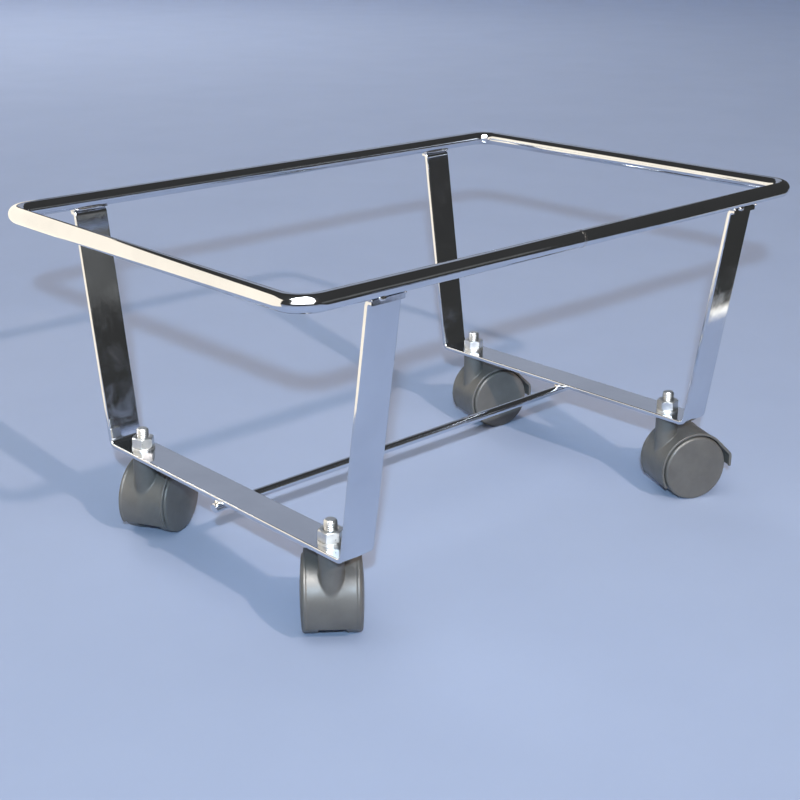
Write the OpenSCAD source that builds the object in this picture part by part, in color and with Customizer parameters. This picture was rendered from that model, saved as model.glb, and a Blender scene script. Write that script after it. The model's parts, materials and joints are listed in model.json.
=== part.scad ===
// Wheeled carrier frame: a chrome bar ring on two flat-bar cradles, tied by a rod, on four twin-wheel castors.
// Millimetres, +Z up, long sides along X, origin on the floor under the middle of the ring.

/* [Top ring] */
// Outside length of the ring, along X
ring_length = 430; // [400:1:600]
// Outside width of the ring, along Y
ring_width = 293; // [280:1:420]
// Height of the ring's top above the floor
ring_top_z = 225; // [180:1:360]
// Diameter of the ring's round bar
ring_bar_d = 10; // [8:0.5:14]
// Corner radius at the middle of the ring's bar
ring_corner_r = 14; // [10:1:60]

/* [Cradles] */
// Width of the flat bar
flat_w = 23; // [18:1:30]
// Thickness of the flat bar
flat_t = 3; // [2:0.5:5]
// Distance between the two cradles along X
cradle_spacing = 309; // [240:1:340]
// Width of the base across the outer faces of its corners
base_width = 236; // [225:1:250]
// Height of the base bar's underside above the floor
base_z = 60; // [58:1:70]
// Inside radius of the base corners
base_bend_r = 3; // [1:0.5:8]
// Inside radius of the bend under the ring
tab_bend_r = 1; // [0.5:0.5:2]

/* [Tie rod] */
// Diameter of the tie rod
tie_d = 6; // [4:0.5:10]
// Sideways offset of the tie rod from the middle
tie_y = -3; // [-10:1:10]
// How far the rod stands out past the left cradle
tie_overhang = 3; // [0:1:10]

/* [Castor positions] */
// Distance between castor stems along Y
stem_spacing_y = 190; // [175:1:195]
// Trail direction of the front left castor, degrees from +X
front_left_angle = 50; // [-180:0.5:180]
// Trail direction of the rear left castor
rear_left_angle = 27; // [-180:0.5:180]
// Trail direction of the rear right castor
rear_right_angle = -16; // [-180:0.5:180]
// Trail direction of the front right castor
front_right_angle = -24.5; // [-180:0.5:180]

/* [Castors] */
// Wheel diameter
wheel_d = 46.5; // [45:0.5:47]
// Overall width across both wheel faces
wheels_width = 37.5; // [36:0.5:40]
// Clear width between the two wheels
wheel_gap = 16; // [16:0.1:17]
// Distance from the swivel axis back to the axle
trail = 16; // [15:0.5:17]
// Outside radius of the hood about the axle
hood_r = 25.4; // [25.4:0.1:26]
// Hood wall
hood_wall = 1.3; // [1:0.1:1.3]
// Width of the hood
hood_w = 32.5; // [30.5:0.5:34]
// Outside diameter of the stem socket
socket_d = 15; // [13.5:0.1:15]
// Axle diameter
axle_d = 6; // [5:0.5:7]

/* [Stems and nuts] */
// Thread diameter
thread_d = 8; // [7:0.5:8]
// Stem standing above the base bar
stem_proud = 14; // [12:0.5:20]
// Nut size across the flats
nut_af = 13; // [13:0.5:14]
// Nut height
nut_h = 6.5; // [5:0.5:7]
// Washer outside diameter
washer_d = 15; // [14.5:0.5:18]
// Washer thickness
washer_t = 1.6; // [1:0.1:2]

/* [Hidden] */
$fn = 64;

// Ring and cradles
ring_half_x = (ring_length - ring_bar_d) / 2;
ring_half_y = (ring_width - ring_bar_d) / 2;
ring_z = ring_top_z - ring_bar_d / 2;
ring_underside = ring_z - ring_bar_d / 2;
leg_rise = ring_underside - base_z;
leg_run = ring_half_y - base_width / 2;
leg_angle = atan2(leg_rise, leg_run);
bend_tan = tan(leg_angle / 2);
base_bend_reach = (base_bend_r + flat_t) * bend_tan;
tab_bend_reach = tab_bend_r * bend_tan;
base_flat = base_width / 2 - base_bend_reach;
tab_corner_y = base_width / 2 + (leg_rise - flat_t) / tan(leg_angle);
leg_flat = norm([tab_corner_y - base_width / 2, leg_rise - flat_t]) - base_bend_reach - tab_bend_reach;
tab_flat = ring_width / 2 - tab_corner_y - tab_bend_reach;
cradle_x = cradle_spacing / 2;
hole_clearance = 0.2;
// Cutting shapes run this far past the faces they cut.
cut_over = 1;
bend_step = 5;

// Castor
wheel_r = wheel_d / 2;
wheel_inner_face = wheel_gap / 2;
wheel_outer_face = wheels_width / 2;
dome_rise = 1;
dome_edge = 2;
wheel_disc_t = 4.6;
wheel_rim_t = 3.5;
tread_chamfer = 0.6;
hub_r = 5.5;
run_clearance = 0.05;
axle_end_inset = 4.4;
axle_end_gap = 0.4;
hub_face_gap = 0.3;
axle_half = wheel_outer_face - axle_end_inset;
edge_step = 15;
dome_steps = 8;
hood_front_angle = 210;
hood_back_angle = 45;
lip_run = 13.6;
lip_bend_r = 3.4;
lip_drop = 6.4;
web_t = 6;
web_floor_gap = 13;
housing_gap = 0.2;
collar_t = 1.5;
collar_d = 14;
socket_top = base_z - collar_t - housing_gap;
socket_bottom = 30;
stem_bottom = 36;
stem_tip_gap = 0.5;
snap_z = 40;
snap_t = 1.2;
snap_d = thread_d + 1.2;
snap_groove_d = thread_d - 1.4;
snap_relief = 0.4;
snap_gap = 2;
nut_z = base_z + flat_t + washer_t;
tip_chamfer = 0.8;
nut_turn_slope = 0.58;

stem_x = cradle_spacing / 2;
stem_y = stem_spacing_y / 2;
// Each castor: where its stem stands and which way it trails.
FRONT_LEFT = [[-stem_x, -stem_y, 0], front_left_angle];
REAR_LEFT = [[-stem_x, stem_y, 0], rear_left_angle];
FRONT_RIGHT = [[stem_x, -stem_y, 0], front_right_angle];
REAR_RIGHT = [[stem_x, stem_y, 0], rear_right_angle];

function ahead(heading) = [cos(heading), sin(heading)];
function left_of(heading) = [-sin(heading), cos(heading)];

// Walks along the right-hand face of a strip and gives [point, heading] at every corner and along every bend.
// Each step is [length] for a straight stretch or [angle, inside radius] for a bend, positive to the left.
function stations(steps, thick, point, heading, i = 0) =
    i == len(steps) ? [] :
    let (step = steps[i])
    len(step) == 1
        ? let (next = point + step[0] * ahead(heading))
            concat([[next, heading]], stations(steps, thick, next, heading, i + 1))
        : let (
            side = step[0] > 0 ? 1 : -1,
            radius = step[0] > 0 ? step[1] + thick : step[1],
            centre = point + side * radius * left_of(heading),
            count = ceil(abs(step[0]) / bend_step),
            arc = [for (k = [1:count]) let (h = heading + step[0] * k / count)
                [centre - side * radius * left_of(h), h]]
        )
        concat(arc, stations(steps, thick, arc[count - 1][0], heading + step[0], i + 1));

// Closed outline of a bent strip: out along its right-hand face and back along the other one.
function strip_outline(steps, thick, start, heading) =
    let (along = concat([[start, heading]], stations(steps, thick, start, heading)))
    concat(
        [for (s = along) s[0]],
        [for (i = [len(along) - 1:-1:0]) along[i][0] + thick * left_of(along[i][1])]
    );

// Puts a castor's own frame (stem axis on Z, trailing along +X, floor at Z = 0) at its place on the base.
module at_castor(castor) {
    translate(castor[0]) rotate([0, 0, castor[1]]) children();
}

// Turns a shape built along +Z so that it lies along the axle, towards +Y.
module on_axle() {
    translate([trail, 0, wheel_r]) rotate([-90, 0, 0]) children();
}

module top_ring() {
    color("gainsboro") {
        for (s = [-1, 1]) {
            translate([0, s * ring_half_y, ring_z]) rotate([0, 90, 0])
                cylinder(d = ring_bar_d, h = 2 * (ring_half_x - ring_corner_r), center = true);
            translate([s * ring_half_x, 0, ring_z]) rotate([90, 0, 0])
                cylinder(d = ring_bar_d, h = 2 * (ring_half_y - ring_corner_r), center = true);
        }
        for (c = [[1, 1, 0], [-1, 1, 90], [-1, -1, 180], [1, -1, 270]])
            translate([c[0] * (ring_half_x - ring_corner_r), c[1] * (ring_half_y - ring_corner_r), ring_z])
                rotate([0, 0, c[2]]) rotate_extrude(angle = 90)
                    translate([ring_corner_r, 0]) circle(d = ring_bar_d);
    }
}

// One U-shaped cradle: tab, leaning leg, base, leaning leg, tab.
module cradle(x) {
    steps = [
        [tab_flat], [-leg_angle, tab_bend_r], [leg_flat], [leg_angle, base_bend_r], [2 * base_flat],
        [leg_angle, base_bend_r], [leg_flat], [-leg_angle, tab_bend_r], [tab_flat],
    ];
    start = [-ring_width / 2, leg_rise - flat_t];
    color("gainsboro") difference() {
        translate([x - flat_w / 2, 0, base_z]) rotate([90, 0, 90])
            linear_extrude(flat_w) polygon(strip_outline(steps, flat_t, start, 0));
        for (s = [-1, 1])
            translate([x, s * stem_y, base_z - cut_over])
                cylinder(d = thread_d + 2 * hole_clearance, h = flat_t + 2 * cut_over);
    }
}

module left_cradle() { cradle(-cradle_x); }
module right_cradle() { cradle(cradle_x); }

module tie_rod() {
    left_end = -cradle_x - flat_w / 2 - tie_overhang;
    right_end = cradle_x + flat_w / 4;
    color("gainsboro") translate([left_end, tie_y, base_z - tie_d / 2]) rotate([0, 90, 0])
        cylinder(d = tie_d, h = right_end - left_end);
}

// Threaded stem with its collar under the base bar, a plain pin in the socket and a groove for the snap ring.
module stem(castor) {
    top = base_z + flat_t + stem_proud;
    color("silver") at_castor(castor) difference() {
        union() {
            translate([0, 0, stem_bottom + tip_chamfer])
                cylinder(d = thread_d, h = top - stem_bottom - 2 * tip_chamfer);
            translate([0, 0, top - tip_chamfer])
                cylinder(d1 = thread_d, d2 = thread_d - 2 * tip_chamfer, h = tip_chamfer);
            translate([0, 0, stem_bottom])
                cylinder(d1 = thread_d - 2 * tip_chamfer, d2 = thread_d, h = tip_chamfer);
            translate([0, 0, base_z - collar_t]) cylinder(d = collar_d, h = collar_t);
        }
        translate([0, 0, snap_z]) difference() {
            cylinder(d = thread_d + cut_over, h = snap_t);
            translate([0, 0, -cut_over]) cylinder(d = snap_groove_d, h = snap_t + 2 * cut_over);
        }
    }
}

// Split ring that holds the stem in the housing's socket.
module snap_ring(castor) {
    color("silver") at_castor(castor) translate([0, 0, snap_z]) difference() {
        cylinder(d = snap_d, h = snap_t);
        translate([0, 0, -cut_over]) cylinder(d = snap_groove_d, h = snap_t + 2 * cut_over);
        translate([0, -snap_gap / 2, -cut_over]) cube([snap_d, snap_gap, snap_t + 2 * cut_over]);
    }
}

module washer(castor) {
    color("silver") at_castor(castor) translate([0, 0, base_z + flat_t]) difference() {
        cylinder(d = washer_d, h = washer_t);
        translate([0, 0, -cut_over]) cylinder(d = thread_d + 2 * hole_clearance, h = washer_t + 2 * cut_over);
    }
}

// Hexagon nut with its corners turned off at both ends.
module nut(castor) {
    corner_r = nut_af / 2 / cos(30);
    turned = corner_r - nut_af / 2;
    turned_h = (turned + cut_over) * nut_turn_slope;
    outline = [
        [thread_d / 2, 0], [nut_af / 2, 0], [corner_r + cut_over, turned_h],
        [corner_r + cut_over, nut_h - turned_h], [nut_af / 2, nut_h], [thread_d / 2, nut_h],
    ];
    color("silver") at_castor(castor) translate([0, 0, nut_z]) intersection() {
        cylinder(r = corner_r, h = nut_h, $fn = 6);
        rotate_extrude() polygon(outline);
    }
}

// Side outline of the web that joins the hood to the axle boss, with the axle at its middle.
module web_outline() {
    intersection() {
        circle(r = hood_r - hood_wall / 2);
        translate([-hood_r, web_floor_gap - wheel_r]) square([2 * hood_r, 2 * hood_r]);
    }
}

// Hood, stem socket, web and axle boss, moulded in one piece.
module housing(castor) {
    hood_steps = [
        [-(hood_front_angle - hood_back_angle), hood_r - hood_wall],
        [lip_run], [-hood_back_angle, lip_bend_r], [lip_drop],
    ];
    hood_start = (hood_r - hood_wall) * ahead(hood_front_angle);
    hood_outline = strip_outline(hood_steps, hood_wall, hood_start, hood_front_angle - 90);
    color("dimgray") at_castor(castor) difference() {
        union() {
            translate([trail, hood_w / 2, wheel_r]) rotate([90, 0, 0]) linear_extrude(hood_w)
                polygon(hood_outline);
            translate([trail, web_t / 2, wheel_r]) rotate([90, 0, 0]) linear_extrude(web_t) web_outline();
            on_axle() translate([0, 0, hub_face_gap - wheel_inner_face])
                cylinder(r = hub_r, h = 2 * (wheel_inner_face - hub_face_gap));
            translate([0, 0, socket_bottom]) cylinder(d = socket_d, h = socket_top - socket_bottom);
        }
        translate([0, 0, stem_bottom - stem_tip_gap])
            cylinder(d = thread_d + 2 * run_clearance, h = base_z - stem_bottom);
        translate([0, 0, snap_z - snap_relief])
            cylinder(d = snap_d + 2 * snap_relief, h = snap_t + 2 * snap_relief);
        on_axle() translate([0, 0, -wheel_r]) cylinder(d = axle_d, h = wheel_d);
    }
}

module axle(castor) {
    color("silver") at_castor(castor) on_axle()
        translate([0, 0, -axle_half]) cylinder(d = axle_d, h = 2 * axle_half);
}

// Half section of a wheel: [distance from the axle, distance along it], hollow on its inner side.
function wheel_outline() =
    let (
        bore_r = axle_d / 2 + run_clearance,
        bore_end = axle_half + axle_end_gap,
        disc_inside = wheel_outer_face - wheel_disc_t,
        face_r = wheel_r - dome_edge,
        dome_r = (face_r * face_r + dome_rise * dome_rise) / (2 * dome_rise),
        dome_angle = asin(face_r / dome_r),
        edge_z = wheel_outer_face - dome_rise - dome_edge
    )
    concat(
        [[bore_r, wheel_inner_face], [hub_r, wheel_inner_face], [hub_r, disc_inside]],
        [[wheel_r - wheel_rim_t, disc_inside], [wheel_r - wheel_rim_t, wheel_inner_face]],
        [[wheel_r - tread_chamfer, wheel_inner_face], [wheel_r, wheel_inner_face + tread_chamfer]],
        [for (a = [0:edge_step:90 - edge_step]) [face_r + dome_edge * cos(a), edge_z + dome_edge * sin(a)]],
        [for (i = [dome_steps:-1:0]) let (a = dome_angle * i / dome_steps)
            [dome_r * sin(a), wheel_outer_face - dome_r * (1 - cos(a))]],
        [[0, bore_end], [bore_r, bore_end]]
    );

// One wheel with a softly domed outer face; side is 1 or -1 along the axle.
module wheel(castor, side) {
    color("dimgray") at_castor(castor) on_axle() rotate([side > 0 ? 0 : 180, 0, 0])
        rotate_extrude() polygon(wheel_outline());
}

top_ring();
left_cradle();
right_cradle();
tie_rod();

stem(FRONT_LEFT);  // front_left_stem
snap_ring(FRONT_LEFT);  // front_left_snap_ring
washer(FRONT_LEFT);  // front_left_washer
nut(FRONT_LEFT);  // front_left_nut
housing(FRONT_LEFT);  // front_left_housing
axle(FRONT_LEFT);  // front_left_axle
wheel(FRONT_LEFT, 1);  // front_left_wheel_a
wheel(FRONT_LEFT, -1);  // front_left_wheel_b

stem(REAR_LEFT);  // rear_left_stem
snap_ring(REAR_LEFT);  // rear_left_snap_ring
washer(REAR_LEFT);  // rear_left_washer
nut(REAR_LEFT);  // rear_left_nut
housing(REAR_LEFT);  // rear_left_housing
axle(REAR_LEFT);  // rear_left_axle
wheel(REAR_LEFT, 1);  // rear_left_wheel_a
wheel(REAR_LEFT, -1);  // rear_left_wheel_b

stem(FRONT_RIGHT);  // front_right_stem
snap_ring(FRONT_RIGHT);  // front_right_snap_ring
washer(FRONT_RIGHT);  // front_right_washer
nut(FRONT_RIGHT);  // front_right_nut
housing(FRONT_RIGHT);  // front_right_housing
axle(FRONT_RIGHT);  // front_right_axle
wheel(FRONT_RIGHT, 1);  // front_right_wheel_a
wheel(FRONT_RIGHT, -1);  // front_right_wheel_b

stem(REAR_RIGHT);  // rear_right_stem
snap_ring(REAR_RIGHT);  // rear_right_snap_ring
washer(REAR_RIGHT);  // rear_right_washer
nut(REAR_RIGHT);  // rear_right_nut
housing(REAR_RIGHT);  // rear_right_housing
axle(REAR_RIGHT);  // rear_right_axle
wheel(REAR_RIGHT, 1);  // rear_right_wheel_a
wheel(REAR_RIGHT, -1);  // rear_right_wheel_b
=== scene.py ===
import json
import math
import random

import bpy
import numpy as np
from mathutils import Matrix, Vector


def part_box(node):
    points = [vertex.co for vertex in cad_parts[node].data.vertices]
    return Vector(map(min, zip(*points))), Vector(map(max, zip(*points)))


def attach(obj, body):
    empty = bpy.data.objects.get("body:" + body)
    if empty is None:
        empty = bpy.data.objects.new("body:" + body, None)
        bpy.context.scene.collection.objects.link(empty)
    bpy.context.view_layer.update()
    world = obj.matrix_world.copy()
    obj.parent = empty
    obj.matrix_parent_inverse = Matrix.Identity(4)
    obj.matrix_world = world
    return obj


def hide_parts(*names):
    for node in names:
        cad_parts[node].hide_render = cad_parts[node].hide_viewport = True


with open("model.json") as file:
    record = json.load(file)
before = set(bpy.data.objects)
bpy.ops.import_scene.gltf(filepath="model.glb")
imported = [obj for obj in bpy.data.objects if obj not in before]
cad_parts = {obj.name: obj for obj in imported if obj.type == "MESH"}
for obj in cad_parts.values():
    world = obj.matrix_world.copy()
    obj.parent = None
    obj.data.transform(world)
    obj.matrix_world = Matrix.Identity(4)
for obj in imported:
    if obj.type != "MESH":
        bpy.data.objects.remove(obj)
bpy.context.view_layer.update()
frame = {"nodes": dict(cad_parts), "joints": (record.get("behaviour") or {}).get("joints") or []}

# Metres throughout, in the CAD model's frame: +X along the long sides, +Z up, origin on the floor.
MM = 0.001

# ---------------------------------------------------------------------------------------------- dimensions
BAR_T = 3.0 * MM                 # flat bar thickness
BAR_EDGE = 0.75 * MM             # rounding along the flat bar's edges
BASE_WIDTH = 236 * MM            # cradle base across its outer corners
BASE_BEND = 3.0 * MM             # inside radius of the base corners
TAB_BEND = 1.0 * MM              # inside radius under the ring
TAB_SETBACK = 3.0 * MM           # how far the tabs' ends tuck in under the ring bar
RING_CORNER = 14 * MM            # ring corner radius, at the middle of the bar
BUTT_WELD_AT = -0.03             # place along the front side, as a share of the half length
HOLE_R = 4.2 * MM                # clearance hole for a stem
THREAD_R = 4.0 * MM
THREAD_PITCH = 1.25 * MM
COLLAR_T = 1.5 * MM              # stem collar under the base bar
SNAP_GROOVE_R = 3.3 * MM         # bottom of the stem's groove
NUT_AF = 13 * MM                 # across flats
HOOD_T = 1.3 * MM                # wall of the castor's hood
LIP_DROP = 6.4 * MM              # straight end of the hood's lip
SOCKET_R = 7.5 * MM              # outside of the stem socket
SOCKET_FOOT = 30 * MM            # height where the socket's outside ends, inside the hood
BORE_R = 4.05 * MM               # inside of the stem socket
BORE_FLOOR = 35.5 * MM
SNAP_ROOM_R = 5.0 * MM           # recess for the snap ring
SNAP_ROOM_Z = 40.6 * MM
WEB_T = 6.0 * MM                 # web between the wheels
WEB_FOOT = 13 * MM
HUB_R = 5.5 * MM                 # round the axle, in the housing and in the wheels
AXLE_R = 3.0 * MM
HUB_GAP = 0.3 * MM               # between a wheel and the housing
HOLD = 0.3 * MM                  # a point this far inside a flat keeps its reflections true

POSITIONS = ["front_left", "rear_left", "front_right", "rear_right"]
joints = {j["name"]: j for j in frame["joints"]}
nodes = frame["nodes"]


def castor_place(position):
    """Matrix from a castor's own frame (swivel axis on Z, trail along +X, floor at 0) to the model's."""
    stem = Vector(joints[f"{position}_swivel"]["pos_m"])
    axle = Vector(joints[f"{position}_wheel_a_spin"]["pos_m"])
    direction = math.atan2(axle.y - stem.y, axle.x - stem.x)
    return Matrix.Translation((stem.x, stem.y, 0)) @ Matrix.Rotation(direction, 4, "Z")


def measured(node):
    """Lowest and highest corners of a front left castor node in that castor's own frame."""
    to_castor = castor_place("front_left").inverted()
    points = np.array([to_castor @ v.co for v in nodes[f"front_left_{node}"].data.vertices])
    return points.min(0), points.max(0)


stem_at, axle_at = (Vector(joints[f"front_left_{name}"]["pos_m"]) for name in ("swivel", "wheel_a_spin"))
TRAIL = math.hypot(axle_at.x - stem_at.x, axle_at.y - stem_at.y)
WHEEL_R = axle_at.z
WHEEL_IN = measured("wheel_a")[0][1]                 # a wheel's inner face, from the castor's middle plane
WHEEL_OUT = measured("wheel_a")[1][1]                # and the top of its dome
HOOD_W = 2 * measured("housing")[1][1]
HOOD_R = TRAIL - measured("housing")[0][0]
SOCKET_TOP = measured("housing")[1][2]
LIP_END = measured("housing")[1][0]                  # how far back the hood's lip reaches


# ---------------------------------------------------------------------------------------------- mesh helpers
def make_piece(name, points, faces, material, body, smooth_angle=35):
    """A mesh object with smooth shading up to smooth_angle, riding on a CAD body."""
    mesh = bpy.data.meshes.new(name)
    mesh.from_pydata([tuple(p) for p in points], [], [tuple(int(i) for i in f) for f in faces])
    mesh.validate()
    mesh.shade_smooth()
    mesh.set_sharp_from_angle(angle=math.radians(smooth_angle))
    piece = bpy.data.objects.new(name, mesh)
    bpy.context.scene.collection.objects.link(piece)
    mesh.materials.append(material)
    if body is not None:
        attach(piece, body)
    return piece


def transformed(points, matrix):
    """Points moved by a matrix."""
    m = np.array(matrix)
    return np.asarray(points, float) @ m[:3, :3].T + m[:3, 3]


def lathe(profile, segments=96):
    """Turns a closed profile of (radius, height) about Z. Points on the axis become single vertices."""
    points, faces, rings = [], [], []
    for r, z in profile:
        if r < 1e-7:
            rings.append([len(points)] * segments)
            points.append((0, 0, z))
        else:
            rings.append(list(range(len(points), len(points) + segments)))
            for k in range(segments):
                a = 2 * math.pi * k / segments
                points.append((r * math.cos(a), r * math.sin(a), z))
    for i in range(len(rings)):
        low, high = rings[i], rings[(i + 1) % len(rings)]
        if low[0] == low[1] and high[0] == high[1]:
            continue
        for k in range(segments):
            n = (k + 1) % segments
            quad = [low[k], low[n], high[n], high[k]]
            face = [v for j, v in enumerate(quad) if v not in quad[:j]]
            faces.append(face)
    return points, faces


def arc(centre, radius, start, end, steps):
    """Points on an arc in a plane, angles in degrees."""
    angles = np.radians(np.linspace(start, end, steps + 1))
    return [(centre[0] + radius * math.cos(a), centre[1] + radius * math.sin(a)) for a in angles]


def surface_nets(field, low, step):
    """Quads on the zero level of a sampled distance field."""
    inside = field < 0
    corners = [(i, j, k) for i in (0, 1) for j in (0, 1) for k in (0, 1)]
    n = [s - 1 for s in field.shape]

    def part(array, c):
        return array[c[0]:c[0] + n[0], c[1]:c[1] + n[1], c[2]:c[2] + n[2]]

    count = sum(part(inside, c).astype(np.int8) for c in corners)
    mixed = (count > 0) & (count < 8)
    total = np.zeros(mixed.shape + (3,))
    crossings = np.zeros(mixed.shape)
    for axis in range(3):
        for c in corners:
            if c[axis]:
                continue
            d = list(c)
            d[axis] = 1
            a, b = part(field, c), part(field, d)
            cross = (a < 0) != (b < 0)
            t = np.where(cross, a / np.where(a == b, 1, a - b), 0)
            for m in range(3):
                total[..., m] += np.where(cross, c[m] + (t if m == axis else 0), 0)
            crossings += cross
    index = np.full(mixed.shape, -1)
    index[mixed] = np.arange(mixed.sum())
    cells = np.argwhere(mixed)
    points = low + step * (cells + total[mixed] / crossings[mixed][:, None])
    faces = []
    for axis in range(3):
        u, v = [m for m in range(3) if m != axis]
        size = list(field.shape)
        size[axis] -= 1
        a = inside[tuple(slice(0, s) for s in size)]
        shift = [slice(0, s) for s in size]
        shift[axis] = slice(1, field.shape[axis])
        b = inside[tuple(shift)]
        edges = np.argwhere(a != b)
        edges = edges[(edges[:, u] > 0) & (edges[:, v] > 0) & (edges[:, u] < n[u]) & (edges[:, v] < n[v])]
        quad = []
        for du, dv in ((1, 1), (0, 1), (0, 0), (1, 0)):
            cell = edges.copy()
            cell[:, u] -= du
            cell[:, v] -= dv
            quad.append(index[tuple(cell.T)])
        quad = np.stack(quad, 1)
        flip = a[tuple(edges.T)] == (axis == 1)
        quad[flip] = quad[flip][:, ::-1]
        faces.append(quad)
    return points, np.concatenate(faces)


def settle(points, distance, rounds=6, h=1e-5):
    """Moves points on to the zero level of a distance function."""
    for _ in range(rounds):
        d = distance(points)
        gradient = np.stack(
            [(distance(points + h * e) - distance(points - h * e)) / (2 * h) for e in np.eye(3)], 1)
        size = np.maximum((gradient ** 2).sum(1), 0.2)
        points = points - (d / size)[:, None] * gradient
    return points


# ---------------------------------------------------------------------------------------------- material helpers
class Shader:
    """A material with a Principled shader and short calls for the nodes that vary it."""

    def __init__(self, name, **values):
        self.material = bpy.data.materials.new(name)
        self.material.use_nodes = True
        self.tree = self.material.node_tree
        self.bsdf = self.tree.nodes["Principled BSDF"]
        self.coords = self.add("ShaderNodeTexCoord").outputs["Object"]
        for socket, value in values.items():
            self.bsdf.inputs[socket.replace("_", " ")].default_value = value

    def add(self, kind, **settings):
        node = self.tree.nodes.new(kind)
        for key, value in settings.items():
            setattr(node, key, value)
        return node

    def link(self, source, target):
        self.tree.links.new(source, target)

    def noise(self, scale, detail=4, rough=0.55, stretch=(1, 1, 1), distortion=0):
        mapping = self.add("ShaderNodeMapping")
        mapping.inputs["Scale"].default_value = stretch
        self.link(self.coords, mapping.inputs["Vector"])
        node = self.add("ShaderNodeTexNoise")
        self.link(mapping.outputs["Vector"], node.inputs["Vector"])
        node.inputs["Scale"].default_value = scale
        node.inputs["Detail"].default_value = detail
        node.inputs["Roughness"].default_value = rough
        node.inputs["Distortion"].default_value = distortion
        return node.outputs["Fac"]

    def cells(self, scale):
        node = self.add("ShaderNodeTexVoronoi")
        self.link(self.coords, node.inputs["Vector"])
        node.inputs["Scale"].default_value = scale
        return node.outputs["Distance"]

    def remap(self, source, low, high, from_low=0.3, from_high=0.7):
        node = self.add("ShaderNodeMapRange")
        self.link(source, node.inputs["Value"])
        node.inputs["From Min"].default_value = from_low
        node.inputs["From Max"].default_value = from_high
        node.inputs["To Min"].default_value = low
        node.inputs["To Max"].default_value = high
        return node.outputs["Result"]

    def math(self, operation, a, b):
        node = self.add("ShaderNodeMath", operation=operation)
        for socket, value in zip(node.inputs, (a, b)):
            if isinstance(value, (int, float)):
                socket.default_value = value
            else:
                self.link(value, socket)
        return node.outputs["Value"]

    def colour(self, factor, dark, light, target="Base Color"):
        node = self.add("ShaderNodeMix", data_type="RGBA")
        self.link(factor, node.inputs["Factor"])
        node.inputs["A"].default_value = (*dark, 1)
        node.inputs["B"].default_value = (*light, 1)
        self.link(node.outputs["Result"], self.bsdf.inputs[target])

    def roughness(self, source):
        self.link(source, self.bsdf.inputs["Roughness"])

    def bumps(self, *layers):
        """Each layer is (height socket, strength, distance in metres)."""
        previous = None
        for height, strength, distance in layers:
            node = self.add("ShaderNodeBump")
            node.inputs["Strength"].default_value = strength
            node.inputs["Distance"].default_value = distance
            self.link(height, node.inputs["Height"])
            if previous is not None:
                self.link(previous, node.inputs["Normal"])
            previous = node.outputs["Normal"]
        self.link(previous, self.bsdf.inputs["Normal"])


def chrome_plate(name, stretch=(1, 1, 1), smudged=0.0):
    """Polished chrome plate: wiped streaks, fine hairline scratches, water spots, smudges and slight orange peel."""
    s = Shader(name, Metallic=1.0)
    wiped = s.noise(38, 5, 0.6, stretch)
    spots = s.remap(s.cells(420), 0.05, 0.0, 0.0, 0.12)
    s.colour(s.remap(s.noise(22, 3), 0, 1), (0.64, 0.67, 0.72), (0.72, 0.75, 0.80))
    smudges = s.remap(s.noise(45, 6, 0.65, distortion=0.6), 0, smudged, 0.50, 0.66)
    s.roughness(s.math("ADD", s.math("ADD", s.remap(wiped, 0.035, 0.10), spots), smudges))
    peel = s.noise(260, 2, 0.4)
    hair = s.noise(900, 2, 0.7, stretch)
    s.bumps((peel, 0.05, 0.0002), (hair, 0.03, 0.0001))
    return s.material


def zinc_plate(name):
    """Bright zinc plate: pale, slightly cloudy, with fine pickling marks."""
    s = Shader(name, Metallic=1.0)
    cloud = s.noise(160, 5, 0.6)
    s.colour(s.remap(cloud, 0, 1), (0.46, 0.475, 0.49), (0.64, 0.65, 0.65))
    s.roughness(s.remap(s.noise(420, 4, 0.6), 0.26, 0.42))
    s.bumps((s.noise(1500, 3, 0.6), 0.06, 0.0001))
    return s.material


def weld_metal(name):
    """Chrome over a weld bead: rippled and less even than the bar beside it."""
    s = Shader(name, Metallic=1.0)
    s.colour(s.remap(s.noise(600, 4), 0, 1), (0.55, 0.55, 0.56), (0.80, 0.79, 0.77))
    s.roughness(s.remap(s.noise(900, 3), 0.10, 0.30))
    s.bumps((s.noise(900, 3, 0.6), 0.35, 0.0003))
    return s.material


def dark_steel(name, dark, light, rough):
    """Drawn or phosphated steel for the hidden pieces."""
    s = Shader(name, Metallic=1.0)
    s.colour(s.remap(s.noise(300, 4), 0, 1), dark, light)
    s.roughness(s.remap(s.noise(500, 4), rough - 0.06, rough + 0.08))
    s.bumps((s.noise(1200, 2, 0.6, (1, 1, 8)), 0.1, 0.0001))
    return s.material


def moulded_plastic(name, dark, light, rough):
    """Satin moulded nylon: spark-eroded grain, handling sheen and a little dust."""
    s = Shader(name, Specular_IOR_Level=0.5, IOR=1.5)
    s.colour(s.remap(s.noise(70, 5, 0.6), 0, 1), dark, light)
    s.roughness(s.remap(s.noise(110, 5, 0.65), rough - 0.06, rough + 0.09))
    s.bumps((s.noise(1900, 2, 0.5), 0.16, 0.0001), (s.noise(90, 3, 0.5), 0.05, 0.0004))
    return s.material


CHROME_RING = chrome_plate("chrome_ring")
CHROME_FLAT = chrome_plate("chrome_flat_bar", (6, 1, 1), 0.10)
CHROME_ROD = chrome_plate("chrome_rod", (1, 6, 6))
ZINC = zinc_plate("bright_zinc")
WELD = weld_metal("chromed_weld")
SPRING = dark_steel("spring_steel", (0.16, 0.16, 0.17), (0.26, 0.26, 0.27), 0.42)
AXLE = dark_steel("axle_steel", (0.42, 0.42, 0.43), (0.60, 0.60, 0.61), 0.30)
HOUSING = moulded_plastic("housing_nylon", (0.106, 0.100, 0.089), (0.138, 0.130, 0.116), 0.42)
WHEEL = moulded_plastic("wheel_nylon", (0.104, 0.096, 0.085), (0.138, 0.128, 0.113), 0.38)


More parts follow.
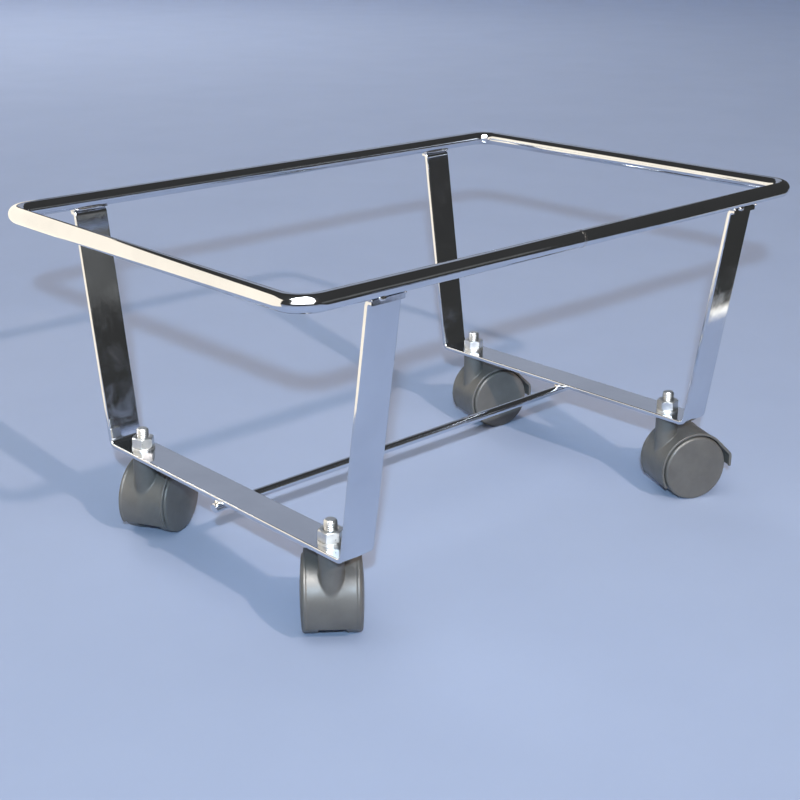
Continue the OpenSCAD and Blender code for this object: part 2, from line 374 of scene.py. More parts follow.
# ---------------------------------------------------------------------------------------------- top ring
def rounded_loop(half_x, half_y, radius, straight=14, corner=20):
    """Centreline of the ring as (point, outward direction), anticlockwise from the middle of the +X side."""
    loop = []
    centres = [(1, 1, 0), (-1, 1, 90), (-1, -1, 180), (1, -1, 270)]
    for i, (sx, sy, start) in enumerate(centres):
        centre = Vector((sx * (half_x - radius), sy * (half_y - radius), 0))
        for k in range(corner + 1):
            a = math.radians(start + 90 * k / corner)
            out = Vector((math.cos(a), math.sin(a), 0))
            loop.append((centre + radius * out, out))
        nx, ny, next_start = centres[(i + 1) % 4]
        out = Vector((math.cos(math.radians(start + 90)), math.sin(math.radians(start + 90)), 0))
        last = loop[-1][0]
        following = Vector((nx * (half_x - radius), ny * (half_y - radius), 0)) + radius * out
        loop += [(last.lerp(following, k / straight), out) for k in range(1, straight)]
    return loop


def build_ring():
    """The round bar, bent to a rectangle. Returns its radius, half sizes and middle height."""
    low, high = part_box("top_ring")
    bar_r = (high.z - low.z) / 2
    half = (high - low) / 2
    middle_z = (high.z + low.z) / 2
    loop = rounded_loop(half.x - bar_r, half.y - bar_r, RING_CORNER)
    sides = 56
    points, faces = [], []
    for centre, out in loop:
        bend = 1 - 0.02 * (abs(out.x * out.y) * 2)      # the bar flattens a little in the bends
        for k in range(sides):
            a = 2 * math.pi * k / sides
            p = centre + bar_r * (bend * math.cos(a) * out + math.sin(a) * Vector((0, 0, 1)))
            points.append(p + Vector((0, 0, middle_z)))
    n = len(loop)
    for i in range(n):
        for k in range(sides):
            m = (k + 1) % sides
            j = (i + 1) % n
            faces.append((i * sides + k, j * sides + k, j * sides + m, i * sides + m))
    ring = make_piece("ring_bar", points, faces, CHROME_RING, "frame")
    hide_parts("top_ring")
    return bar_r, half, middle_z


def build_butt_weld(bar_r, half, middle_z):
    """The ground-down weld that closes the ring, a low band round the bar on the front side."""
    rnd = random.Random(3)
    half_width, steps, sides = 1.3 * MM, 10, 56
    at = Vector((half.x * BUTT_WELD_AT, -(half.y - bar_r), middle_z))
    points, faces = [], []
    for i in range(steps + 1):
        t = i / steps * 2 - 1
        for k in range(sides):
            a = 2 * math.pi * k / sides
            wobble = 0.05 * MM * rnd.random()
            r = bar_r - 0.1 * MM + (0.26 * MM + wobble) * (1 - t * t)
            points.append(at + Vector((t * half_width, r * math.cos(a), r * math.sin(a))))
    for i in range(steps):
        for k in range(sides):
            m = (k + 1) % sides
            faces.append((i * sides + k, i * sides + m, (i + 1) * sides + m, (i + 1) * sides + k))
    faces.append(tuple(reversed(range(sides))))
    faces.append(tuple(range(steps * sides, (steps + 1) * sides)))
    make_piece("ring_butt_weld", points, faces, WELD, "frame", 60)


# ---------------------------------------------------------------------------------------------- flat bar cradles
def cradle_path(ring_half_y, bar_r, base_z, top_z):
    """Outer face of the U as (y, z, heading in degrees), from the -Y tab's end to the +Y tab's end."""
    rise = top_z - base_z
    run = (ring_half_y - bar_r) - BASE_WIDTH / 2
    lean = math.degrees(math.atan2(rise, run))
    reach = math.tan(math.radians(lean / 2))
    corner_y = BASE_WIDTH / 2 + (rise - BAR_T) / math.tan(math.radians(lean))
    base_reach = (BASE_BEND + BAR_T) * reach
    leg = math.hypot(corner_y - BASE_WIDTH / 2, rise - BAR_T) - base_reach - TAB_BEND * reach
    tab = ring_half_y - TAB_SETBACK - corner_y - TAB_BEND * reach
    steps = [(tab,), (-lean, TAB_BEND), (leg,), (lean, BASE_BEND), (BASE_WIDTH - 2 * base_reach,),
             (lean, BASE_BEND), (leg,), (-lean, TAB_BEND), (tab,)]
    p, heading = np.array([TAB_SETBACK - ring_half_y, top_z - BAR_T]), 0.0
    path = [(p, heading)]

    def left(h):
        return np.array([-math.sin(math.radians(h)), math.cos(math.radians(h))])

    for step in steps:
        if len(step) == 1:
            ahead = np.array([math.cos(math.radians(heading)), math.sin(math.radians(heading))])
            count = max(1, round(step[0] / (12 * MM)))
            stops = [HOLD, *(step[0] * k / count for k in range(1, count)), step[0] - HOLD, step[0]]
            path += [(p + stop * ahead, heading) for stop in stops]
            p = path[-1][0]
        else:
            turn, inside = step
            side = 1 if turn > 0 else -1
            radius = inside + BAR_T if turn > 0 else inside
            centre = p + side * radius * left(heading)
            path += [(centre - side * radius * left(heading + turn * k / 16), heading + turn * k / 16)
                     for k in range(1, 17)]
            heading += turn
            p = path[-1][0]
    return path


def bar_section(width, thick, edge, steps=6):
    """Rounded rectangle: (across, through), the outer face at through = 0."""
    section = []
    for cx, cy, start in ((1, 1, 0), (-1, 1, 90), (-1, -1, 180), (1, -1, 270)):
        centre = (cx * (width / 2 - edge), thick / 2 + cy * (thick / 2 - edge))
        corner = arc(centre, edge, start, start + 90, steps)
        before, after = math.radians(start - 90), math.radians(start + 180)
        lead = (corner[0][0] + HOLD * math.cos(before), corner[0][1] + HOLD * math.sin(before))
        tail = (corner[-1][0] + HOLD * math.cos(after), corner[-1][1] + HOLD * math.sin(after))
        section += [lead, *corner, tail]
    return section


def build_cradle(name, node):
    """One U of flat bar with its tabs and stem holes."""
    low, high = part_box(node)
    ring_low, ring_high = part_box("top_ring")
    bar_r = (ring_high.z - ring_low.z) / 2
    middle_x = (low.x + high.x) / 2
    section = bar_section(high.x - low.x, BAR_T, BAR_EDGE)
    path = cradle_path(high.y, bar_r, low.z, high.z)
    points, faces = [], []
    for p, heading in path:
        normal = (-math.sin(math.radians(heading)), math.cos(math.radians(heading)))
        for across, through in section:
            points.append((middle_x + across, p[0] + through * normal[0], p[1] + through * normal[1]))
    m = len(section)
    for i in range(len(path) - 1):
        for k in range(m):
            n = (k + 1) % m
            faces.append((i * m + k, i * m + n, (i + 1) * m + n, (i + 1) * m + k))
    faces.append(tuple(reversed(range(m))))
    faces.append(tuple(range((len(path) - 1) * m, len(path) * m)))
    cradle = make_piece(name, points, faces, CHROME_FLAT, "frame", 30)
    for sign in (-1, 1):
        stem_y = sign * abs(joints["front_left_swivel"]["pos_m"][1])
        drill(cradle, Vector((middle_x, stem_y, low.z)), HOLE_R)
    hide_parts(node)


def drill(piece, at, radius):
    """Cuts a vertical hole through a bar."""
    points, faces = lathe([(0, -8 * MM), (radius, -8 * MM), (radius, 8 * MM), (0, 8 * MM)], 64)
    mesh = bpy.data.meshes.new("drill")
    mesh.from_pydata([tuple(Vector(p) + at) for p in points], [], faces)
    tool = bpy.data.objects.new("drill", mesh)
    bpy.context.scene.collection.objects.link(tool)
    cut = piece.modifiers.new("hole", "BOOLEAN")
    cut.operation = "DIFFERENCE"
    cut.solver = "EXACT"
    cut.object = tool
    graph = bpy.context.evaluated_depsgraph_get()
    result = bpy.data.meshes.new_from_object(piece.evaluated_get(graph))
    piece.modifiers.clear()
    piece.data = result
    bpy.data.objects.remove(tool)


# ---------------------------------------------------------------------------------------------- tie rod and welds
def build_tie_rod():
    """The thin round bar under both cradles, chamfered at its ends."""
    low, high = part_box("tie_rod")
    r = (high.z - low.z) / 2
    length = high.x - low.x
    chamfer = 0.5 * MM
    profile = [(0, 0), (r - chamfer, 0), (r, chamfer)]
    profile += [(r, chamfer + (length - 2 * chamfer) * k / 40) for k in range(1, 41)]
    profile += [(r - chamfer, length), (0, length)]
    points, faces = lathe(profile, 48)
    place = Matrix.Translation((low.x, (low.y + high.y) / 2, (low.z + high.z) / 2))
    turn = Matrix.Rotation(math.radians(90), 4, "Y")
    rod = make_piece("tie_rod_bar", transformed(points, place @ turn), faces, CHROME_ROD, "frame")
    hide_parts("tie_rod")


def bead(centre, size, seed, bulge=0.16):
    """One lumpy weld bead: an ellipsoid of the given half sizes with soft ripples."""
    rnd = random.Random(seed)
    phases = [(rnd.uniform(2, 6), rnd.uniform(0, 6.3)) for _ in range(4)]
    rows, columns = 14, 22
    points, faces = [], []
    for i in range(rows + 1):
        lat = math.pi * i / rows
        for k in range(columns):
            lon = 2 * math.pi * k / columns
            swell = 1 + bulge * sum(math.sin(f * lon + g + lat * f) for f, g in phases) / 4
            direction = Vector((math.sin(lat) * math.cos(lon), math.sin(lat) * math.sin(lon), math.cos(lat)))
            points.append(Vector(centre) + Vector([swell * d * s for d, s in zip(direction, size)]))
    for i in range(rows):
        for k in range(columns):
            n = (k + 1) % columns
            faces.append((i * columns + k, (i + 1) * columns + k, (i + 1) * columns + n, i * columns + n))
    return points, faces


def build_welds():
    """Beads where the tabs meet the ring and where the tie rod meets the base bars."""
    ring_low, ring_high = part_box("top_ring")
    rod_low, rod_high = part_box("tie_rod")
    bar_r = (ring_high.z - ring_low.z) / 2
    beads = {"tab_welds": [], "tie_rod_welds": []}
    for node in ("left_cradle", "right_cradle"):
        low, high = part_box(node)
        for side in (-1, 1):
            y = side * (ring_high.y - bar_r)
            for x in (low.x, high.x):
                beads["tab_welds"].append(((x, y, high.z + 0.2 * MM), (1.1 * MM, 3.0 * MM, 1.1 * MM)))
            middle, half = (low.x + high.x) / 2, (high.x - low.x) / 2
            inner = (middle, y - side * bar_r * 0.62, high.z + 0.6 * MM)
            beads["tab_welds"].append((inner, (half, 1.4 * MM, 1.1 * MM)))
            lump = (low.x + 7.5 * MM, y + side * (bar_r - TAB_SETBACK), high.z - 0.1 * MM)
            beads["tab_welds"].append((lump, (2.6 * MM, 1.3 * MM, 1.5 * MM)))
        rod_y = (rod_low.y + rod_high.y) / 2
        rod_r = (rod_high.z - rod_low.z) / 2
        for x in (low.x, high.x):
            if rod_low.x < x < rod_high.x:
                beads["tie_rod_welds"].append(((x, rod_y, low.z), (1.3 * MM, rod_r * 0.85, 1.0 * MM)))
        for side in (-1, 1):
            middle = (low.x + min(high.x, rod_high.x)) / 2
            size = ((min(high.x, rod_high.x) - low.x) / 2, 1.0 * MM, 0.9 * MM)
            beads["tie_rod_welds"].append(((middle, rod_y + side * rod_r * 0.72, low.z - 0.3 * MM), size))
    for name, group in beads.items():
        points, faces = [], []
        for i, (centre, size) in enumerate(group):
            p, f = bead(centre, size, 40 + i)
            faces += [tuple(v + len(points) for v in face) for face in f]
            points += p
        make_piece(name, points, faces, WELD, "frame", 60)


# ---------------------------------------------------------------------------------------------- stems, washers, nuts
def build_stem(position):
    """Rolled thread above the collar, plain pin below it."""
    low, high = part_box(f"{position}_stem")
    at = Vector(((low.x + high.x) / 2, (low.y + high.y) / 2, 0))
    collar_r = (high.x - low.x) / 2
    base_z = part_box("left_cradle")[0].z
    depth, tip = 0.62 * MM, 1.0 * MM
    turns, around = 12, 48
    thread_low = base_z + 0.2 * MM
    rows = int((high.z - thread_low) / THREAD_PITCH * turns)
    heights = [thread_low + (high.z - thread_low) * i / rows for i in range(rows + 1)]
    snap_low, snap_high = (v.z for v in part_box(f"{position}_snap_ring"))
    soft = 0.3 * MM
    plain = [(0.0, low.z), (THREAD_R - 0.8 * MM, low.z), (THREAD_R, low.z + 0.8 * MM), (THREAD_R, snap_low),
             (SNAP_GROOVE_R, snap_low), (SNAP_GROOVE_R, snap_high), (THREAD_R, snap_high),
             (THREAD_R, base_z - COLLAR_T), (collar_r - soft, base_z - COLLAR_T), (collar_r, base_z - COLLAR_T + soft),
             (collar_r, base_z - soft), (collar_r - soft, base_z), (THREAD_R - depth, base_z)]
    points, faces, rings = [], [], []
    for r, z in plain:
        rings.append([(r, z)] * around)
    for z in heights:
        ring = []
        for k in range(around):
            phase = (z / THREAD_PITCH - k / around) % 1.0
            ridge = min(1.0, max(0.0, 1.25 * (1 - abs(2 * phase - 1)) - 0.1))
            r = THREAD_R - 0.04 * MM - depth * (1 - ridge)
            r = min(r, THREAD_R - max(0.0, tip - (high.z - z)))
            ring.append((r, z))
        rings.append(ring)
    rings.append([(0.0, high.z)] * around)
    for ring in rings:
        for k, (r, z) in enumerate(ring):
            a = 2 * math.pi * k / around
            points.append(at + Vector((r * math.cos(a), r * math.sin(a), z)))
    for i in range(len(rings) - 1):
        for k in range(around):
            n = (k + 1) % around
            faces.append((i * around + k, i * around + n, (i + 1) * around + n, (i + 1) * around + k))
    stem = make_piece(f"{position}_threaded_stem", points, faces, ZINC, "frame", 40)
    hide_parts(f"{position}_stem")


def build_washer(position):
    """Plain washer, stamped: round over the top edge, square below."""
    low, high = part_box(f"{position}_washer")
    at = Vector(((low.x + high.x) / 2, (low.y + high.y) / 2, low.z))
    r, t, e = (high.x - low.x) / 2, high.z - low.z, 0.35 * MM
    profile = [(HOLE_R, 0.1 * MM), (HOLE_R + 0.1 * MM, 0), (r - 0.1 * MM, 0), (r, 0.15 * MM)]
    profile += arc((r - e, t - e), e, 0, 90, 5)
    profile += [(HOLE_R + 0.3 * MM, t), (HOLE_R, t - 0.3 * MM)]
    points, faces = lathe(profile, 72)
    piece = make_piece(f"{position}_flat_washer", [Vector(p) + at for p in points], faces, ZINC, "frame")
    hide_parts(f"{position}_washer")


def build_nut(position, turn):
    """Hexagon nut with turned corners, softened edges and a countersunk bore."""
    low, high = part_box(f"{position}_nut")
    at = Vector(((low.x + high.x) / 2, (low.y + high.y) / 2, low.z))
    height, flat = high.z - low.z, NUT_AF / 2
    around = 144
    rise = [0, 0.12, 0.3, 0.55, 0.85, 1.2, 1.6]
    levels = [z * MM for z in rise] + [height - z * MM for z in reversed(rise)]
    rings = [[(THREAD_R + 0.02 * MM, 0.6 * MM)] * around, [(THREAD_R + 0.55 * MM, 0)] * around]
    for z in levels:
        limit = flat * 0.975 + min(z, height - z) / math.tan(math.radians(30))
        ring = []
        for k in range(around):
            a = 2 * math.pi * k / around
            hexagon = sum(abs(math.cos(a - math.radians(60 * i))) ** 70 for i in range(3)) ** (-1 / 70)
            ring.append((min(flat * hexagon, limit), z))
        rings.append(ring)
    rings += [[(THREAD_R + 0.55 * MM, height)] * around, [(THREAD_R + 0.02 * MM, height - 0.6 * MM)] * around]
    points, faces = [], []
    for ring in rings:
        for k, (r, z) in enumerate(ring):
            a = 2 * math.pi * k / around + turn
            points.append(at + Vector((r * math.cos(a), r * math.sin(a), z)))
    n_rings = len(rings)
    for i in range(n_rings):
        j = (i + 1) % n_rings
        for k in range(around):
            n = (k + 1) % around
            faces.append((i * around + k, i * around + n, j * around + n, j * around + k))
    nut = make_piece(f"{position}_hex_nut", points, faces, ZINC, "frame", 25)
    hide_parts(f"{position}_nut")


# ---------------------------------------------------------------------------------------------- castors
def smooth_min(a, b, k):
    """The smaller of two distances, blended over a width k."""
    h = np.maximum(k - np.abs(a - b), 0) / k
    return np.minimum(a, b) - h * h * k / 4


def plate(d2, y, half_width, rounding):
    """Rounded extrusion along y of a plane distance d2."""
    qx, qy = d2 + rounding, np.abs(y) - half_width + rounding
    outside = np.hypot(np.maximum(qx, 0), np.maximum(qy, 0))
    return outside + np.minimum(np.maximum(qx, qy), 0) - rounding


def to_segment(x, z, a, b):
    """Distance to a straight segment."""
    ax, az = x - a[0], z - a[1]
    bx, bz = b[0] - a[0], b[1] - a[1]
    t = np.clip((ax * bx + az * bz) / (bx * bx + bz * bz), 0, 1)
    return np.hypot(ax - t * bx, az - t * bz)


def to_arc(x, z, centre, radius, start, end):
    """Distance to an arc that runs anticlockwise from start to end, in degrees."""
    dx, dz = x - centre[0], z - centre[1]
    angle = np.mod(np.degrees(np.arctan2(dz, dx)) - start, 360)
    ends = []
    for a in (start, end):
        ex, ez = centre[0] + radius * math.cos(math.radians(a)), centre[1] + radius * math.sin(math.radians(a))
        ends.append(np.hypot(x - ex, z - ez))
    return np.where(angle <= end - start, np.abs(np.hypot(dx, dz) - radius), np.minimum(*ends))


def housing_distance(p):
    """Distance to the moulding's surface: x along the trail, y along the axle, z up from the floor."""
    x, y, z = p[:, 0] - TRAIL, p[:, 1], p[:, 2] - WHEEL_R
    middle = HOOD_R - HOOD_T / 2
    back, front = 45, 210
    lip_bend = 3.4 * MM + HOOD_T / 2
    s = math.sin(math.radians(45))
    lip_run = (LIP_END - TRAIL - HOOD_T / 2 - lip_bend * (1 - s) - middle * s) / s
    a = (middle * s, middle * s)
    b = (a[0] + lip_run * s, a[1] - lip_run * s)
    c = (b[0] - lip_bend * s, b[1] - lip_bend * s)
    d = (c[0] + lip_bend, c[1])
    e = (d[0], d[1] - LIP_DROP)
    line = np.minimum.reduce([to_arc(x, z, (0, 0), middle, back, front), to_segment(x, z, a, b),
                              to_arc(x, z, c, lip_bend, 0, 45), to_segment(x, z, d, e)])
    hood = plate(line - HOOD_T / 2, y, HOOD_W / 2, 0.45 * MM)
    rim = plate(line - HOOD_T / 2 - 0.35 * MM, np.abs(y) - HOOD_W / 2 + 0.9 * MM, 0.9 * MM, 0.4 * MM)
    web2 = np.maximum(np.hypot(x, z) - middle, (WEB_FOOT - WHEEL_R) - z)
    web = plate(web2, y, WEB_T / 2, 0.4 * MM)
    hub = np.maximum(np.hypot(x, z) - HUB_R, np.abs(y) - (WHEEL_IN - HUB_GAP))
    radial = np.hypot(p[:, 0], p[:, 1])
    boss = np.maximum(radial - SOCKET_R, np.maximum(p[:, 2] - SOCKET_TOP, SOCKET_FOOT - p[:, 2]))
    skirt = smooth_min(hood, rim, 0.3 * MM)
    body = smooth_min(smooth_min(skirt, boss, 0.7 * MM), smooth_min(web, hub, 1.2 * MM), 1.0 * MM)
    bore = np.maximum(radial - BORE_R, BORE_FLOOR - p[:, 2])
    relief = np.maximum(radial - SNAP_ROOM_R, np.abs(p[:, 2] - SNAP_ROOM_Z) - 1.0 * MM)
    axle_hole = np.hypot(x, z) - AXLE_R
    wheels = np.maximum(np.hypot(x, z) - (HOOD_R - HOOD_T), (WHEEL_IN - HUB_GAP) - np.abs(y))
    body = np.maximum(body, -wheels)
    return np.maximum(body, -np.minimum.reduce([bore, relief, axle_hole]))


def housing_mesh():
    """The moulding as a mesh in the castor's own frame."""
    step = 0.42 * MM
    low = np.array([TRAIL - HOOD_R - 1.5 * MM, -HOOD_W / 2 - 1.5 * MM, 9 * MM])
    high = np.array([LIP_END + 1.5 * MM, HOOD_W / 2 + 1.5 * MM, SOCKET_TOP + 1.5 * MM])
    counts = np.ceil((high - low) / step).astype(int) + 1
    axes = [low[i] + step * np.arange(counts[i]) for i in range(3)]
    grid = np.stack(np.meshgrid(*axes, indexing="ij"), -1).reshape(-1, 3)
    field = np.concatenate([housing_distance(part) for part in np.array_split(grid, 8)])
    points, faces = surface_nets(field.reshape(counts), low, step)
    return settle(points, housing_distance), faces


def wheel_mesh():
    """A wheel with its axis on Z: domed face outwards, hollow with ribs on the inside."""
    edge, dome = 2.0 * MM, 1.0 * MM
    face_r = WHEEL_R - edge
    dome_r = (face_r ** 2 + dome ** 2) / (2 * dome)
    dome_angle = math.degrees(math.asin(face_r / dome_r))
    floor = WHEEL_OUT - dome - edge - 1.6 * MM
    rim_r = WHEEL_R - 3.5 * MM
    bore_r, bore_end = AXLE_R + 0.05 * MM, WHEEL_OUT - 4.0 * MM
    soft = 0.4 * MM
    profile = [(bore_r, WHEEL_IN + soft), (bore_r + soft, WHEEL_IN), (HUB_R - soft, WHEEL_IN)]
    profile += [(HUB_R, WHEEL_IN + soft), (HUB_R, floor - soft), (HUB_R + soft, floor)]
    profile += [(rim_r - soft, floor), (rim_r, floor - soft), (rim_r, WHEEL_IN + soft), (rim_r + soft, WHEEL_IN)]
    profile += arc((WHEEL_R - 0.6 * MM, WHEEL_IN + 0.6 * MM), 0.6 * MM, -90, 0, 5)
    profile += arc((face_r, WHEEL_OUT - dome - edge), edge, 0, 90 - dome_angle, 12)
    centre_z = WHEEL_OUT - dome_r
    for i in range(11, 0, -1):
        a = math.radians(dome_angle * i / 12)
        profile.append((dome_r * math.sin(a), centre_z + dome_r * math.cos(a)))
    profile += [(0, WHEEL_OUT), (0, bore_end), (bore_r, bore_end)]
    points, faces = lathe(profile, 128)
    for k in range(6):                                   # radial ribs in the hollow side
        a = 2 * math.pi * k / 6
        t, z0, z1 = 0.7 * MM, WHEEL_IN + 1.5 * MM, floor + 0.3 * MM
        along = Vector((math.cos(a), math.sin(a), 0))
        across = Vector((-math.sin(a), math.cos(a), 0))
        first = len(points)
        for r in (HUB_R - 0.4 * MM, rim_r + 0.4 * MM):
            for side in (-1, 1):
                for z in (z0, z1):
                    points.append(r * along + side * t * across + Vector((0, 0, z)))
        box = [(0, 1, 3, 2), (4, 6, 7, 5), (0, 4, 5, 1), (2, 3, 7, 6), (0, 2, 6, 4), (1, 5, 7, 3)]
        faces += [tuple(first + v for v in f) for f in box]
    return points, faces


def build_castors():
    """Housings and wheels on all four corners, and the materials of the pieces they hide."""
    housing_points, housing_faces = housing_mesh()
    wheel_points, wheel_faces = wheel_mesh()
    for position in POSITIONS:
        place = castor_place(position)
        housing = make_piece(f"{position}_castor_housing", transformed(housing_points, place), housing_faces,
                             HOUSING, f"{position}_castor", 60)
        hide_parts(f"{position}_housing")
        for letter, side in (("a", 1), ("b", -1)):
            lay = Matrix.Rotation(math.radians(-90 * side), 4, "X")
            to_place = place @ Matrix.Translation((TRAIL, 0, WHEEL_R)) @ lay
            wheel = make_piece(f"{position}_roller_{letter}", transformed(wheel_points, to_place), wheel_faces,
                               WHEEL, f"{position}_wheel_{letter}_body", 40)
            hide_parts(f"{position}_wheel_{letter}")
        for part, material, slot in (("snap_ring", SPRING, "spring_steel"), ("axle", AXLE, "axle_steel")):
            node = nodes[f"{position}_{part}"]
            node.data.materials.clear()
            node.data.materials.append(material)


# ---------------------------------------------------------------------------------------------- camera, floor, light
CAMERA_AZIMUTH, CAMERA_ELEVATION = -42.83, 20.08     # degrees, azimuth 0 looks along +Y
CAMERA_DISTANCE = 0.9326
CAMERA_TARGET = Vector((0, 0.0148, 0.0795))
CAMERA_LENS = 61.5


def look_back(azimuth, elevation):
    """Direction from the target to a camera at these angles in degrees."""
    a, e = math.radians(azimuth), math.radians(elevation)
    return Vector((math.sin(a) * math.cos(e), -math.cos(a) * math.cos(e), math.sin(e)))


def build_camera():
    """The view of the object from its front left."""
    camera = bpy.data.objects.new("camera", bpy.data.cameras.new("camera"))
    camera.data.lens = CAMERA_LENS
    camera.data.sensor_width = 36
    camera.data.clip_end = 100
    back = look_back(CAMERA_AZIMUTH, CAMERA_ELEVATION)
    camera.location = CAMERA_TARGET + CAMERA_DISTANCE * back
    camera.rotation_mode = "QUATERNION"
    camera.rotation_quaternion = (-back).to_track_quat("-Z", "Y")
    bpy.context.scene.collection.objects.link(camera)
    bpy.context.scene.camera = camera


def aim(piece, target):
    """Turns a lamp to face a point."""
    piece.rotation_mode = "QUATERNION"
    piece.rotation_quaternion = (Vector(target) - piece.location).to_track_quat("-Z", "Y")


def area_light(name, at, target, size, colour, strength=None, power=None):
    """A soft light. Given a strength it doesn't fade with distance; given a power in watts it does."""
    light = bpy.data.lights.new(name, "AREA")
    light.shape = "RECTANGLE"
    light.size, light.size_y = size
    light.color = colour
    if power is not None:
        light.energy = power
    else:
        light.use_nodes = True
        tree = light.node_tree
        falloff = tree.nodes.new("ShaderNodeLightFalloff")
        falloff.inputs["Strength"].default_value = strength
        tree.links.new(falloff.outputs["Constant"], tree.nodes["Emission"].inputs["Strength"])
    lamp = bpy.data.objects.new(name, light)
    lamp.location = at
    bpy.context.scene.collection.objects.link(lamp)
    aim(lamp, target)
    return lamp


def card(name, corners, strength, colour, patchy=False):
    """A flat card that only shows in reflections: bright ones give highlights, dark ones contrast."""
    material = bpy.data.materials.new(name)
    material.use_nodes = True
    tree = material.node_tree
    tree.nodes.clear()
    glow = tree.nodes.new("ShaderNodeEmission")
    glow.inputs["Color"].default_value = (*colour, 1)
    glow.inputs["Strength"].default_value = strength
    if patchy:
        place = tree.nodes.new("ShaderNodeTexCoord")
        noise = tree.nodes.new("ShaderNodeTexNoise")
        ramp = tree.nodes.new("ShaderNodeMapRange")
        patches = {"Scale": 14, "Detail": 4, "Distortion": 0.8}
        levels = {"From Min": 0.40, "From Max": 0.58, "To Min": 0.25 * strength, "To Max": strength}
        for node, values in ((noise, patches), (ramp, levels)):
            for socket, value in values.items():
                node.inputs[socket].default_value = value
        tree.links.new(place.outputs["Object"], noise.inputs["Vector"])
        tree.links.new(noise.outputs["Fac"], ramp.inputs["Value"])
        tree.links.new(ramp.outputs["Result"], glow.inputs["Strength"])
    out = tree.nodes.new("ShaderNodeOutputMaterial")
    tree.links.new(glow.outputs["Emission"], out.inputs["Surface"])
    mesh = bpy.data.meshes.new(name)
    mesh.from_pydata(corners, [], [(0, 1, 2, 3)])
    mesh.materials.append(material)
    piece = bpy.data.objects.new(name, mesh)
    bpy.context.scene.collection.objects.link(piece)
    piece.visible_camera = False
    piece.visible_diffuse = False
    piece.visible_shadow = False
    piece.visible_transmission = False


def upright(centre, width, low, high):
    """Corners of an upright card that faces the middle of the scene."""
    middle = Vector((centre[0], centre[1], 0))
    side = Vector((-centre[1], centre[0], 0)).normalized() * width / 2
    up = Vector((0, 0, 1))
    return [middle - side + low * up, middle + side + low * up, middle + side + high * up, middle - side + high * up]


def flat(x0, y0, x1, y1, z=0.1 * MM):
    """Corners of a level card, just above the floor unless a height is given."""
    return [(x0, y0, z), (x1, y0, z), (x1, y1, z), (x0, y1, z)]


def build_floor():
    """A pale matt sheet, and beyond it the same surface sweeping up into a wall that the chrome doesn't see."""
    s = Shader("pale_floor", Roughness=0.85, Specular_IOR_Level=0.1)
    s.colour(s.remap(s.noise(6, 6, 0.6), 0, 1), (0.388, 0.450, 0.598), (0.408, 0.472, 0.621))
    s.bumps((s.noise(500, 3, 0.6), 0.04, 0.0002))
    bend = [(6 + 2 * math.sin(math.radians(a)), 2 - 2 * math.cos(math.radians(a))) for a in range(0, 91, 10)]
    segments = 96
    for name, profile in (("studio_floor", [(0.001, 0), (2, 0)]), ("studio_wall", [(2, 0), *bend, (8, 6)])):
        points, faces = [], []
        for r, z in profile:
            for k in range(segments):
                a = 2 * math.pi * k / segments
                points.append((r * math.cos(a), r * math.sin(a), z))
        for i in range(len(profile) - 1):
            for k in range(segments):
                n = (k + 1) % segments
                low, high = i * segments, (i + 1) * segments
                faces.append((low + k, low + n, high + n, high + k))
        if name == "studio_floor":
            faces.append(tuple(range(segments)))
        piece = make_piece(name, points, faces, s.material, None, 60)
        piece.visible_glossy = name == "studio_floor"


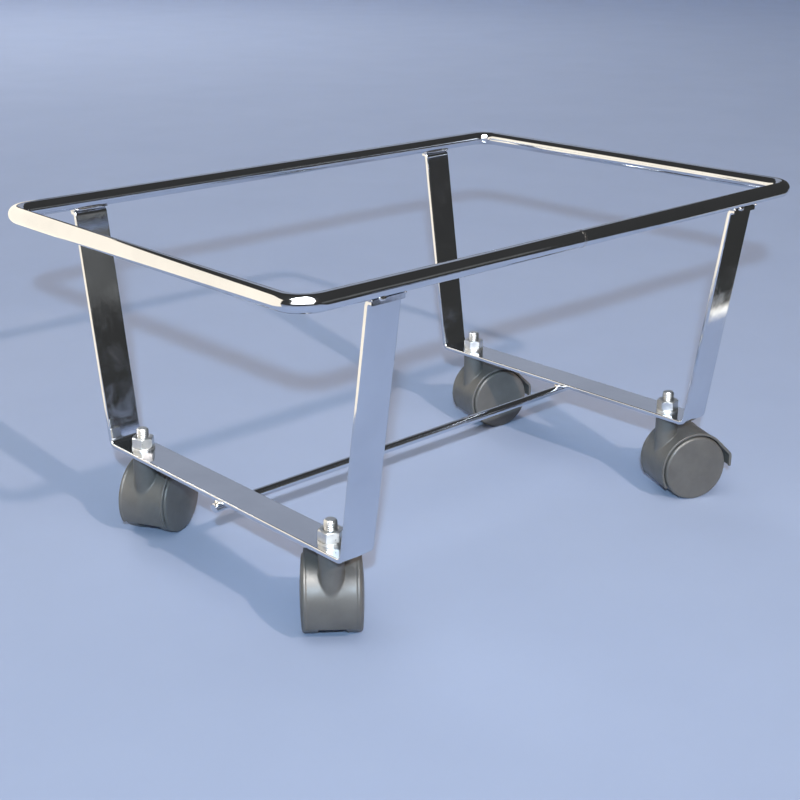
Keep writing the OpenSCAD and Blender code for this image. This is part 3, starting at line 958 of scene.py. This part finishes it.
AIM = (0, 0, 0.05)
LAMPS = [       # name, place, size, strength, colour, seen in the chrome
    ("camera_side_light", (-0.66, -0.695, 0.528), (0.022, 0.016), 0.80, (0.54, 0.77, 1.0), True),
    ("front_light", (-0.257, -1.38, 0.995), (0.04, 0.03), 0.42, (1.0, 0.806, 0.69), True),
    ("overhead_light", (-0.9, -1.0, 2.1), (3, 3), 0.44, (1.0, 0.97, 0.92), False),
]
DARK = (1.0, 1.0, 0.96)
CARDS = [       # name, corners, strength, colour, patchy
    ("window_card", upright((-0.286, 0.307), 0.95, 0.0, 0.52), 1.44, (1.0, 0.89, 0.73), False),
    ("front_card", upright((-0.80, -0.86), 1.25, 0.36, 1.45), 3.0, (1.0, 0.98, 0.94), False),
    ("high_card", flat(-1.235, -1.285, -0.085, -0.135, 1.6), 27.0, (1.0, 0.99, 0.97), False),
    # where the reflected sheet ends and a darker floor begins, with a bright edge between
    ("dark_floor_card_1", flat(0.400, -4.0, 4.000, -0.281), 0.045, DARK, False),
    ("dark_floor_card_2", flat(0.345, -4.0, 0.400, -0.760), 0.045, DARK, False),
    ("dark_floor_card_3", flat(0.120, -4.0, 0.345, -0.520), 0.045, DARK, False),
    ("bright_edge_card", flat(0.40, -0.281, 4.0, -0.271), 1.6, (1.0, 0.96, 0.88), False),
    ("grey_wall_card", upright((1.71, 1.83), 1.55, 0.55, 2.3), 1.0, (0.37, 0.405, 0.49), False),
    ("far_side_card", upright((0.90, -1.78), 1.2, 0.12, 0.6), 0.22, DARK, True),
]


def build_lights():
    """A dim room, two small lamps that cast the shadows, two wide ones, and the cards."""
    world = bpy.data.worlds.new("studio")
    bpy.context.scene.world = world
    world.use_nodes = True
    background = world.node_tree.nodes["Background"]
    background.inputs["Color"].default_value = (1.0, 0.99, 0.97, 1)
    background.inputs["Strength"].default_value = 0.046
    for name, at, size, strength, colour, seen in LAMPS:
        area_light(name, at, AIM, size, colour, strength=strength).visible_glossy = seen
    above_back = (1.1, 3.8)
    back = area_light("back_light", (*above_back, 2.5), (*above_back, 0), (3, 3), (1.0, 0.985, 0.965), power=66)
    back.visible_glossy = False
    for values in CARDS:
        card(*values)


# ---------------------------------------------------------------------------------------------- the scene
bpy.context.scene.view_settings.view_transform = "Standard"
build_camera()
ring_bar_r, ring_half, ring_middle_z = build_ring()
build_butt_weld(ring_bar_r, ring_half, ring_middle_z)
build_cradle("left_cradle_bar", "left_cradle")
build_cradle("right_cradle_bar", "right_cradle")
build_tie_rod()
build_welds()
for i, position in enumerate(POSITIONS):
    build_stem(position)
    build_washer(position)
    build_nut(position, math.radians(17 * i))        # each nut is tightened to its own angle
build_castors()
build_floor()
build_lights()
